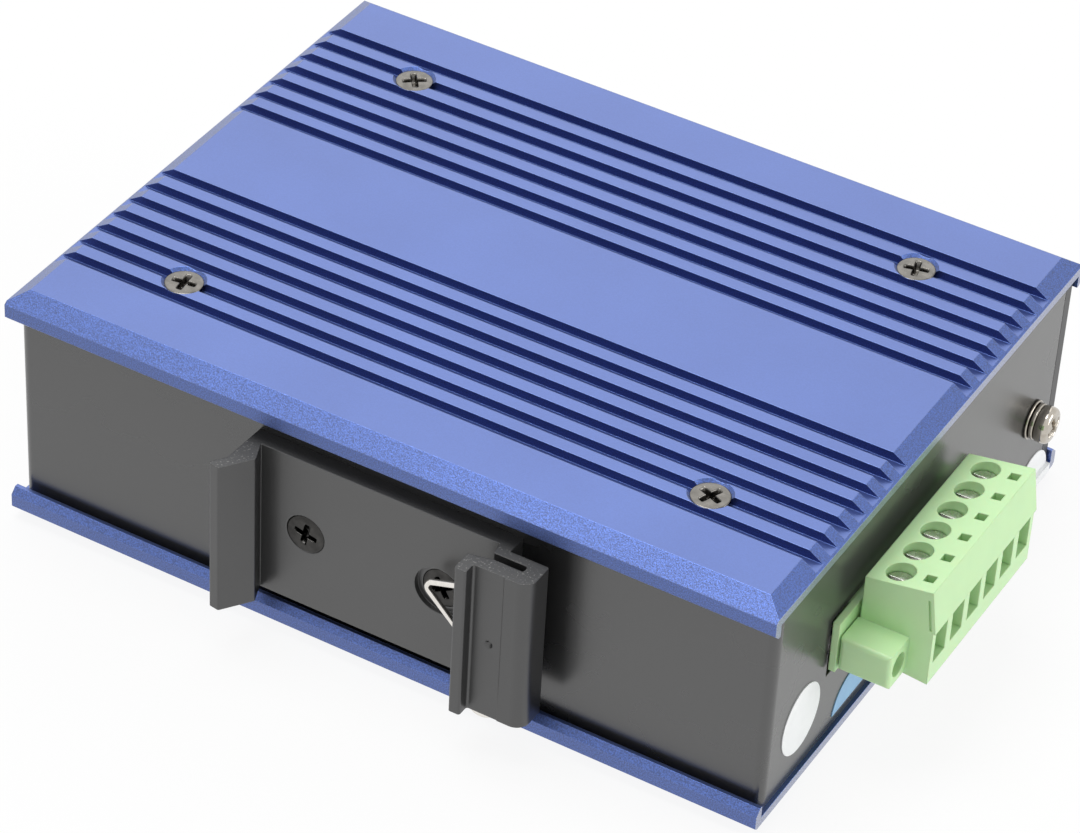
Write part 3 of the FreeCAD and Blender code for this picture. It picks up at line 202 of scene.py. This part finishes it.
# ---------------------------------------------------------------------------
# Case: one folded sheet of steel, stoved with a fine black satin paint. The
# flat front panel closes its open side, between the lips of the covers.

paint = finish("black satin paint", [(0.017, 0.017, 0.017), (0.021, 0.021, 0.021)], (0.25, 0.29),
               grain=0.00025, patch=0.02, height=0.000004, edge=0.00035, IOR=1.95, Sheen_Weight=0.2,
               Sheen_Roughness=0.35)
dress(["chassis"], paint)
panel_finish = finish("black anodised panel", [(0.03, 0.03, 0.031), (0.036, 0.036, 0.037)], (0.38, 0.44),
                      grain=0.0002, patch=0.02, height=0.000005, edge=0.00025)
dress(["front_panel"], panel_finish)
milky = finish("milky light pipe", [(0.7, 0.76, 0.68), (0.78, 0.82, 0.76)], (0.18, 0.26), patch=0.001,
               height=0.000001, Subsurface_Weight=0.2, Subsurface_Scale=0.001)
dress(["indicator_lamps"], milky)

# ---------------------------------------------------------------------------
# Covers: two extruded aluminium fin plates, cut to length with bevelled
# ends, blasted and anodised blue. Each is held by four countersunk screws.

anodised = finish("blue anodised aluminium", [(0.040, 0.086, 0.30), (0.052, 0.106, 0.35)], (0.40, 0.45),
                  metal=1.0, grain=0.0002, patch=0.02, height=0.00001, edge=0.00014, Coat_Weight=1.0,
                  Coat_Roughness=0.42, Coat_IOR=1.65)


def axes_of(tree, source):
    """The X, Y and Z sockets of a vector socket, by letter."""
    made = node(tree, "SeparateXYZ")
    join(tree, source, made.inputs[0])
    return made.outputs


def fed_to(socket):
    """The socket that is linked into a socket now."""
    return socket.links[0].from_socket


def reckon(tree, operation, *values):
    """The result of a math node on sockets and numbers."""
    made = node(tree, "Math", operation=operation)
    for entry, value in zip(made.inputs, values):
        if isinstance(value, (int, float)):
            entry.default_value = value
        else:
            join(tree, value, entry)
    return made.outputs[0]


def shares_of(tree, normal):
    """How far a normal lies along X, Y and Z, each from 0 to 1."""
    return {letter: reckon(tree, "ABSOLUTE", axes_of(tree, normal)[letter]) for letter in "XYZ"}


def ramp(tree, source, start, end):
    """0 below start, 1 above end, smooth between; start above end turns it round."""
    span = node(tree, "MapRange", interpolation_type="SMOOTHSTEP")
    span.inputs["From Min"].default_value = start
    span.inputs["From Max"].default_value = end
    join(tree, source, span.inputs["Value"])
    return span.outputs["Result"]


# The cover's faces are told apart by their true normals: sawn ends, sloped
# bevels, groove walls near the outer face, and edges. The end bevels carry a
# painted shade of deeper blue, the groove walls a painted shade of dark blue
# and the edges a painted highlight of light blue.
# The sloped ones are flecked, as their grain is coarser.
square_on = (0.9, 0.96)
tree = anodised.node_tree
bsdf = tree.nodes["Principled BSDF"]
bump = tree.nodes["Bump"]
normal = node(tree, "NewGeometry").outputs["True Normal"]
share = shares_of(tree, normal)
place = axes_of(tree, node(tree, "TexCoord").outputs["Object"])
sawn = ramp(tree, share["X"], *square_on)
sloped = ramp(tree, share["Z"], 0.97, 0.9)
# End bevels: painted shade, a deeper and darker blue.
end_bevel_shade = reckon(tree, "MULTIPLY", sloped, ramp(tree, share["X"], 0.2, 0.3))
groove_reach, fade = 0.0015, 0.0001
near_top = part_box("top_cover")[1][2] - groove_reach
near_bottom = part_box("bottom_cover")[0][2] + groove_reach
near_face = reckon(tree, "MAXIMUM", ramp(tree, place["Z"], near_top, near_top + fade),
                   ramp(tree, place["Z"], near_bottom, near_bottom - fade))
# Groove walls near the outer face: painted shade, a dark blue.
groove_wall_shade = reckon(tree, "MULTIPLY", ramp(tree, share["Y"], *square_on), near_face)
# Edges: a painted highlight, light blue where the rounded normal turns away from the true one.
turn_of_edge = node(tree, "VectorMath", operation="DOT_PRODUCT")
join(tree, tree.nodes["Bevel"].outputs[0], turn_of_edge.inputs[0])
join(tree, normal, turn_of_edge.inputs[1])
highlight_strength = 0.45
edge_highlight = reckon(tree, "MULTIPLY", ramp(tree, turn_of_edge.outputs["Value"], 0.985, 0.93), highlight_strength)
tone = fed_to(bsdf.inputs["Base Color"])
# Painted shade on the end bevels and groove walls and a painted highlight on the edges; the sawn ends get
# their own lighter colour.
for mask, colour in ((end_bevel_shade, (0.030, 0.080, 0.305)), (groove_wall_shade, (0.028, 0.058, 0.24)),
                     (sawn, (0.26, 0.29, 0.42)), (edge_highlight, (0.20, 0.29, 0.62))):
    tone = blend(tree, mask, tone, colour)
grain_height = fed_to(bump.inputs["Height"])
fleck_depth = between(tree, sloped, 0.10, 0.85)
fleck_floor = between(tree, sloped, 0.95, 0.60)
fleck = reckon(tree, "MULTIPLY_ADD", ramp(tree, grain_height, 0.3, 0.7), fleck_depth, fleck_floor)
flecked = node(tree, "VectorMath", operation="SCALE")
join(tree, tone, flecked.inputs[0])
join(tree, fleck, flecked.inputs["Scale"])
join(tree, flecked.outputs[0], bsdf.inputs["Base Color"])
join(tree, reckon(tree, "MULTIPLY", grain_height, between(tree, sloped, 1.0, 2.6)), bump.inputs["Height"])
dress(["top_cover", "bottom_cover"], anodised)
dark_zinc = finish("dark zinc plate", [(0.115, 0.11, 0.10), (0.20, 0.19, 0.175)], (0.2, 0.32), metal=1.0,
                   grain=0.0002, patch=0.0012, height=0.000004)


def turned(face, side, dip, spots, axis, spins, segments=120):
    """Vertices and faces of turned pieces, one at each spot, each spun by its own angle.

    The rows of (radius, height) run from the middle of the face outwards in "face" and on round
    the rim to the tip in "side". Turn t of a row gives radius (cos t, sin t) across the axis and
    the height along it, and on face rows dip(x, y) is added. Each end is closed by a fan of faces
    round one point.
    """
    face, side = np.array(face), np.array(side)
    turn = np.linspace(0, 2 * np.pi, segments, endpoint=False)
    rows = np.concatenate([face, side])
    across = rows[:, :1] * np.cos(turn)
    along = rows[:, :1] * np.sin(turn)
    height = np.repeat(rows[:, 1:], segments, axis=1)
    height[:len(face)] += dip(across[:len(face)], along[:len(face)])
    middle = face[0, 1] + dip(np.zeros(1), np.zeros(1))[0]
    local = np.concatenate([[[0, 0, middle]], np.stack([across, along, height], -1).reshape(-1, 3),
                            [[0, 0, side[-1, 1]]]])
    z_axis = np.array(axis, dtype=float)
    x_axis = np.array((0.0, 0.0, 1.0)) if abs(z_axis[2]) < 0.5 else np.array((1.0, 0.0, 0.0))
    y_axis = np.cross(z_axis, x_axis)
    here = np.arange(segments)
    beside = (here + 1) % segments
    starts = 1 + segments * np.arange(len(rows) - 1)[:, None]
    quads = np.stack([starts + here, starts + segments + here, starts + segments + beside,
                      starts + beside], axis=-1).reshape(-1, 4)
    end = starts[-1, 0] + segments
    fans = np.concatenate([np.stack([np.zeros_like(here), 1 + here, 1 + beside], -1),
                           np.stack([np.full_like(here, len(local) - 1), end + beside, end + here], -1)])
    points, faces = [], []
    for number, (spot, spin) in enumerate(zip(spots, spins)):
        cos, sin = math.cos(spin), math.sin(spin)
        frame_of = np.stack([cos * x_axis + sin * y_axis, cos * y_axis - sin * x_axis, z_axis])
        points.append(local @ frame_of + np.array(spot))
        faces += (quads + number * len(local)).tolist() + (fans + number * len(local)).tolist()
    return np.concatenate(points), faces


def add_piece(name, mesh, material, replaced, sharp):
    """Put a mesh on the object's one body, smooth but for sharp edges, in place of a CAD node."""
    mesh.name = name
    mesh.shade_smooth()
    mesh.set_sharp_from_angle(angle=math.radians(sharp))
    mesh.materials.clear()
    mesh.materials.append(material)
    piece = bpy.data.objects.new(name, mesh)
    scene.collection.objects.link(piece)
    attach(piece, "root")
    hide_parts(replaced)


def new_piece(name, points, faces, material, replaced, sharp=50):
    """A piece from points and faces that stands for a CAD node."""
    mesh = bpy.data.meshes.new(name)
    mesh.from_pydata(points.tolist(), [], faces)
    add_piece(name, mesh, material, replaced, sharp)


def ease(value):
    """0 below 0, 1 above 1, smooth between, for whole arrays."""
    value = np.clip(value, 0, 1)
    return value * value * (3 - 2 * value)


def cross_dip(depth, reach, wing, slope):
    """A cross recess: two crossed wings whose sides slope and whose ends rise to the face."""
    end_share = 0.4

    def dip(x, y):
        far = np.maximum(abs(x), abs(y))
        beside = np.minimum(abs(x), abs(y))
        ends = ease((reach - far) / (reach * end_share))
        wings = ease((wing / 2 + slope - beside) / slope)
        return -depth * wings * ends
    return dip


def flat_head(radius, shank, length):
    """Face and side rows of a countersunk screw with a slightly domed face and ringed threads.

    The face rises with 1 - reach squared. The side goes round the rim, down the cone to the shank
    and past a groove at each turn of the thread to the tip.
    """
    dome, face_edge, face_rows = 0.00008, 0.93, 34
    pitch, crest, thread_depth, tip = 0.0005, 0.0001, 0.0003, 0.0004
    face = [(reach * radius, dome * (1 - reach ** 2)) for reach in np.linspace(0.02, face_edge, face_rows)]
    side = [(0.975 * radius, -0.00001), (0.995 * radius, -0.00005), (radius, -0.00012),
            (shank * 1.02, -(radius - shank) - crest)]
    start = radius - shank + 2 * crest
    for number in range(int((length - start - tip - 2 * crest) / pitch)):
        depth = start + number * pitch
        side += [(shank, -depth), (shank, -depth - crest), (shank - thread_depth, -depth - thread_depth)]
    side += [(shank, -length + tip), (shank * 0.8, -length)]
    return face, side


head_radius, shank_radius, screw_length = 0.00275, 0.0015, 0.006
recess = cross_dip(depth=0.0013, reach=0.0019, wing=0.0004, slope=0.0003)
top_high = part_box("top_cover_screws")[1]
screw_x = top_high[0] - head_radius
screw_y = top_high[1] - head_radius
cover_face, cover_side = flat_head(head_radius, shank_radius, screw_length)
corners = [(-screw_x, -screw_y), (-screw_x, screw_y), (screw_x, -screw_y), (screw_x, screw_y)]
spins = [math.radians(angle) for angle in (8, 38, -22, 14)]
for name, level, axis in (("top_cover_screws", top_high[2], (0, 0, 1)),
                          ("bottom_cover_screws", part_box("bottom_cover_screws")[0][2], (0, 0, -1))):
    spots = [(x, y, level) for x, y in corners]
    points, faces = turned(cover_face, cover_side, recess, spots, axis, spins)
    new_piece(name + "_turned", points, faces, dark_zinc, name)

# ---------------------------------------------------------------------------
# Rail clip: one black anodised aluminium extrusion, sawn to 25 mm, screwed to
# the back. A bent wire spring lies in its slot and grips the rail.

clip_finish = finish("black anodised extrusion", [(0.022, 0.022, 0.022), (0.03, 0.03, 0.03)],
                     (0.34, 0.40), grain=0.0003, patch=0.01, height=0.00001, edge=0.0002, IOR=1.9)
# Its hook and block stand out of the plate and are painted darker than it, as
# painted shade. Their sawn ends are dull and speckled, and painted near black
# as painted shadow.
tree = clip_finish.node_tree
bsdf = tree.nodes["Principled BSDF"]
bump = tree.nodes["Bump"]
share = shares_of(tree, node(tree, "NewGeometry").outputs["True Normal"])
place = axes_of(tree, node(tree, "TexCoord").outputs["Object"])
plate_thickness = 0.0026
plate_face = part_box("din_clip")[1][1] - plate_thickness
sawn = ramp(tree, share["Z"], *square_on)
raised = ramp(tree, place["Y"], plate_face - 0.0002, plate_face - 0.0006)
grain_height = fed_to(bump.inputs["Height"])
specks = reckon(tree, "MULTIPLY", ramp(tree, grain_height, 0.58, 0.72),
                reckon(tree, "MULTIPLY", sawn, raised))
tone = fed_to(bsdf.inputs["Base Color"])
# Painted shade on the hook and block and painted shadow on all sawn ends; the specks are grain.
for mask, colour in ((raised, (0.012, 0.012, 0.0125)), (sawn, (0.007, 0.007, 0.007)),
                     (specks, (0.16, 0.16, 0.15))):
    tone = blend(tree, mask, tone, colour)
join(tree, tone, bsdf.inputs["Base Color"])
join(tree, reckon(tree, "MULTIPLY", grain_height, between(tree, sawn, 1.0, 4.0)), bump.inputs["Height"])
sawn_roughness = 0.25
join(tree, reckon(tree, "MULTIPLY_ADD", sawn, sawn_roughness, fed_to(bsdf.inputs["Roughness"])),
     bsdf.inputs["Roughness"])
dress(["din_clip"], clip_finish)
black_zinc = finish("black zinc plate", [(0.035, 0.034, 0.033), (0.07, 0.068, 0.065)], (0.16, 0.26),
                    metal=1.0, grain=0.0002, patch=0.0012, height=0.000003, edge=0.00012)
bright_zinc = finish("bright zinc plate", [(0.55, 0.54, 0.52), (0.68, 0.67, 0.65)], (0.2, 0.34), metal=1.0,
                     grain=0.0002, patch=0.001, height=0.000003, edge=0.0001)
dress(["clip_nuts", "earth_nut", "header_nuts"], bright_zinc)
spring_wire = finish("spring wire", [(0.74, 0.71, 0.66), (0.84, 0.81, 0.77)], (0.12, 0.2), metal=1.0,
                     grain=0.0001, patch=0.001, height=0.000002)


def smooth_copy(name, material, sharp):
    """A merged, smooth copy of a CAD node's mesh that stands for it."""
    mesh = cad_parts[name].data.copy()
    work = bmesh.new()
    work.from_mesh(mesh)
    bmesh.ops.remove_doubles(work, verts=work.verts, dist=0.000001)
    work.to_mesh(mesh)
    work.free()
    for layer in list(mesh.attributes):
        if layer.name == "custom_normal":
            mesh.attributes.remove(layer)
    add_piece(name + "_smooth", mesh, material, name, sharp)


smooth_copy("clip_spring", spring_wire, 60)

clip_low, clip_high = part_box("clip_screws")
clip_head_radius = 0.003
clip_face, clip_side = flat_head(clip_head_radius, shank_radius, screw_length)
clip_middle = (clip_low[2] + clip_high[2]) / 2
clip_spots = [(clip_low[0] + clip_head_radius, clip_low[1], clip_middle),
              (clip_high[0] - clip_head_radius, clip_high[1] - screw_length, clip_middle)]
spins = [math.radians(angle) for angle in (-12, 30)]
points, faces = turned(clip_face, clip_side, recess, clip_spots, (0, -1, 0), spins)
new_piece("clip_screws_turned", points, faces, black_zinc, "clip_screws")

# ---------------------------------------------------------------------------
# Screw terminal: a green moulded header on the board and the plug that is
# screwed to it, with tinned pins and contacts and zinc plated clamps.

green = finish("green moulding", [(0.53, 0.79, 0.42), (0.57, 0.83, 0.45)], (0.34, 0.44), grain=0.0003,
               patch=0.006, height=0.000006, edge=0.00025, Subsurface_Weight=0.12,
               Subsurface_Scale=0.0008)
dress(["terminal_plug", "terminal_header"], green)
dress(["plug_cages", "plug_clamp_screws", "plug_flange_screws"], bright_zinc)
tinned = finish("tinned copper", [(0.55, 0.54, 0.5), (0.68, 0.66, 0.62)], (0.25, 0.4), metal=1.0,
                patch=0.001, height=0.000002)
dress(["header_pins", "plug_contacts"], tinned)

# ---------------------------------------------------------------------------
# Earth point: a nickel plated pan head screw with a split washer and a flat
# washer, driven into a press nut in the end wall.

# The nickel is painted dark brown where the washers and the recess shade it: painted shade.
polished = finish("polished nickel", [(0.42, 0.385, 0.33), (0.56, 0.52, 0.46)], (0.08, 0.16), metal=1.0,
                  grain=0.0002, patch=0.001, height=0.000001)
tree = polished.node_tree
bsdf = tree.nodes["Principled BSDF"]
# Painted shade: the base colour turns dark brown where ambient occlusion finds hollows.
hollow = node(tree, "AmbientOcclusion", Distance=0.0008, samples=8)
crevice_shade = blend(tree, ramp(tree, hollow.outputs["AO"], 0.95, 0.5), fed_to(bsdf.inputs["Base Color"]),
                (0.05, 0.038, 0.026))
join(tree, crevice_shade, bsdf.inputs["Base Color"])


def rounded_ring(inner, outer, low, high, corner, steps=6):
    """Profile of a ring round its axis, a closed loop of (radius, height) with round outer corners."""
    swing = np.linspace(0, np.pi / 2, steps)
    upper = [(outer - corner + corner * math.sin(each), high - corner + corner * math.cos(each))
             for each in swing]
    lower = [(outer - corner + corner * math.cos(each), low + corner - corner * math.sin(each))
             for each in swing]
    return [(inner, high)] + upper + lower + [(inner, low)]


def swept_ring(loop, spot, start, end, segments=96, lift=0.0):
    """A loop of (radius, height) carried round an X axis from one angle to another.

    Point i at turn t is radius_i (sin t, cos t) in the YZ plane and height_i + lift t / full turn
    along X. A ring that doesn't meet itself is closed by a flat face at each end.
    """
    loop = np.array(loop)
    whole = abs(end - start - 2 * np.pi) < 0.001
    turn = np.linspace(start, end, segments, endpoint=not whole)[:, None]
    rise = lift * (turn - start) / (2 * np.pi)
    points = np.stack([loop[:, 1] + rise, loop[:, 0] * np.sin(turn), loop[:, 0] * np.cos(turn)], -1)
    count = len(loop)
    here = np.arange(count)
    beside = (here + 1) % count
    steps = np.arange(segments if whole else segments - 1)[:, None]
    after = (steps + 1) % segments
    quads = np.stack([steps * count + here, steps * count + beside, after * count + beside,
                      after * count + here], -1).reshape(-1, 4)
    faces = quads.tolist()
    if not whole:
        faces += [here[::-1].tolist(), ((segments - 1) * count + here).tolist()]
    return points.reshape(-1, 3) + np.array(spot), faces


screw_low, screw_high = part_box("earth_screw")
washer_low, washer_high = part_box("earth_washer")
split_low, split_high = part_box("earth_spring_washer")
earth_y = (screw_low[1] + screw_high[1]) / 2
earth_z = (screw_low[2] + screw_high[2]) / 2
earth_axis = (0, earth_y, earth_z)
bore = 0.0016
washer_loop = rounded_ring(bore, washer_high[1] - earth_y, washer_low[0], washer_high[0], corner=0.00018)
points, faces = swept_ring(washer_loop, earth_axis, 0, 2 * np.pi)
new_piece("earth_washer_turned", points, faces, polished, "earth_washer", 40)

split_lift = 0.12 * (split_high[0] - split_low[0])
split_loop = rounded_ring(bore, split_high[2] - earth_z, split_low[0], split_high[0] - split_lift,
                          corner=0.00028)
split_start, split_end = math.radians(96), math.radians(444)
points, faces = swept_ring(split_loop, earth_axis, split_start, split_end, lift=split_lift)
new_piece("earth_split_washer", points, faces, polished, "earth_spring_washer", 40)

pan_radius = screw_high[1] - earth_y
pan_top = screw_high[0]
pan_height = pan_top - split_high[0]
crown_drop, belly = 0.18 * pan_height, 0.5 * pan_height
pan_face = [(reach * pan_radius, -crown_drop * reach ** 2) for reach in np.linspace(0.03, 0.80, 36)]
shoulder_radius, shoulder_level = pan_face[-1]
pan_side = [(shoulder_radius + (pan_radius - shoulder_radius) * math.sin(each),
             -belly + (shoulder_level + belly) * math.cos(each))
            for each in np.linspace(0, np.pi / 2, 9)[1:]]
tip_level = screw_low[0] - pan_top
pan_side += [(pan_radius, -0.92 * pan_height), (pan_radius - 0.00015, -pan_height),
             (shank_radius, -pan_height - 0.00001), (shank_radius, tip_level + 0.0004),
             (shank_radius - 0.0004, tip_level)]
pan_recess = cross_dip(depth=0.0013, reach=0.0019, wing=0.0005, slope=0.00035)
points, faces = turned(pan_face, pan_side, pan_recess, [(pan_top, earth_y, earth_z)], (1, 0, 0),
                       [math.radians(20)])
new_piece("earth_screw_turned", points, faces, polished, "earth_screw")

# ---------------------------------------------------------------------------
# Seals: thin round paper labels, bare of print, two white and one pale blue.

white_paper = finish("white paper", [(0.88, 0.89, 0.90), (0.92, 0.93, 0.94)], (0.45, 0.55), patch=0.002,
                     height=0.000003)
blue_paper = finish("pale blue paper", [(0.27, 0.48, 0.74), (0.31, 0.53, 0.78)], (0.45, 0.55),
                    patch=0.002, height=0.000003)
dress(["round_seal", "bridge_seal"], white_paper)
dress(["cut_seal"], blue_paper)

# ---------------------------------------------------------------------------
# Studio: a pale floor that keeps a faint shadow, a white surround and three
# soft boxes. The camera stands to the right of the rail clip and looks down.

reach = 1.5
floor_gap = 0.0001
floor_mesh = bpy.data.meshes.new("floor")
floor_mesh.from_pydata([(-reach, -reach, 0), (reach, -reach, 0), (reach, reach, 0), (-reach, reach, 0)], [],
                       [(0, 1, 2, 3)])
floor = bpy.data.objects.new("floor", floor_mesh)
scene.collection.objects.link(floor)
floor.location.z = -floor_gap


def seen_directly(tree):
    """1 for camera, glossy and transmission rays, else 0."""
    path = node(tree, "LightPath").outputs
    seen_or_mirrored = reckon(tree, "MAXIMUM", path["Is Camera Ray"], path["Is Glossy Ray"])
    return reckon(tree, "MAXIMUM", seen_or_mirrored, path["Is Transmission Ray"])


floor_whiteness = 0.9
floor_finish, tree, bsdf = shader("pale floor")
bsdf.inputs["Base Color"].default_value = (0.88, 0.88, 0.88, 1)
bsdf.inputs["Roughness"].default_value = 0.9
bsdf.inputs["Specular IOR Level"].default_value = 0.1
white = node(tree, "Emission", Strength=1.0)
lit = node(tree, "MixShader")
join(tree, reckon(tree, "MULTIPLY", seen_directly(tree), floor_whiteness), lit.inputs["Fac"])
join(tree, bsdf.outputs[0], lit.inputs[1])
join(tree, white.outputs[0], lit.inputs[2])
join(tree, lit.outputs[0], tree.nodes["Material Output"].inputs["Surface"])
floor_mesh.materials.append(floor_finish)

surround_light, surround_seen = 0.45, 1.0
world = bpy.data.worlds.new("white surround")
scene.world = world
world.use_nodes = True
tree = world.node_tree
background = tree.nodes["Background"]
background.inputs["Color"].default_value = (1, 1, 1, 1)
join(tree, between(tree, seen_directly(tree), surround_light, surround_seen), background.inputs["Strength"])


def soft_box(name, spot, aim, wide, tall, power):
    """A rectangular area lamp at a place, turned to face a point."""
    lamp = bpy.data.lights.new(name, "AREA")
    lamp.shape = "RECTANGLE"
    lamp.size = wide
    lamp.size_y = tall
    lamp.energy = power
    box = bpy.data.objects.new(name, lamp)
    scene.collection.objects.link(box)
    box.location = spot
    box.rotation_euler = (Vector(spot) - Vector(aim)).to_track_quat("Z", "Y").to_euler()


middle = (0, 0, 0.02)
soft_box("soft_box_behind", (-0.35, 0.60, 0.62), middle, 0.7, 0.6, 1.25)
soft_box("soft_box_above", (-0.14, -0.06, 0.85), middle, 0.45, 0.45, 4.4)
soft_box("soft_box_right", (0.62, 0.20, 0.20), middle, 0.4, 0.4, 1.7)

azimuth, elevation, roll = (math.radians(angle) for angle in (28.36, 37.95, 3.46))
target, distance = Vector((0, 0, 0.01984)), 0.60926
away = Vector((math.sin(azimuth) * math.cos(elevation), -math.cos(azimuth) * math.cos(elevation),
               math.sin(elevation)))
right = Vector((math.cos(azimuth), math.sin(azimuth), 0))
up = away.cross(right)
rolled_right = math.cos(roll) * right + math.sin(roll) * up
rolled_up = -math.sin(roll) * right + math.cos(roll) * up
camera_data = bpy.data.cameras.new("camera")
camera_data.sensor_width = 36
camera_data.lens = 143.44
camera_data.shift_x = -0.00632
camera_data.shift_y = -0.02840
camera_data.clip_start = 0.01
camera = bpy.data.objects.new("camera", camera_data)
scene.collection.objects.link(camera)
turn = Matrix((rolled_right, rolled_up, away)).transposed().to_4x4()
camera.matrix_world = Matrix.Translation(target + distance * away) @ turn
scene.camera = camera

scene.view_settings.view_transform = "Standard"
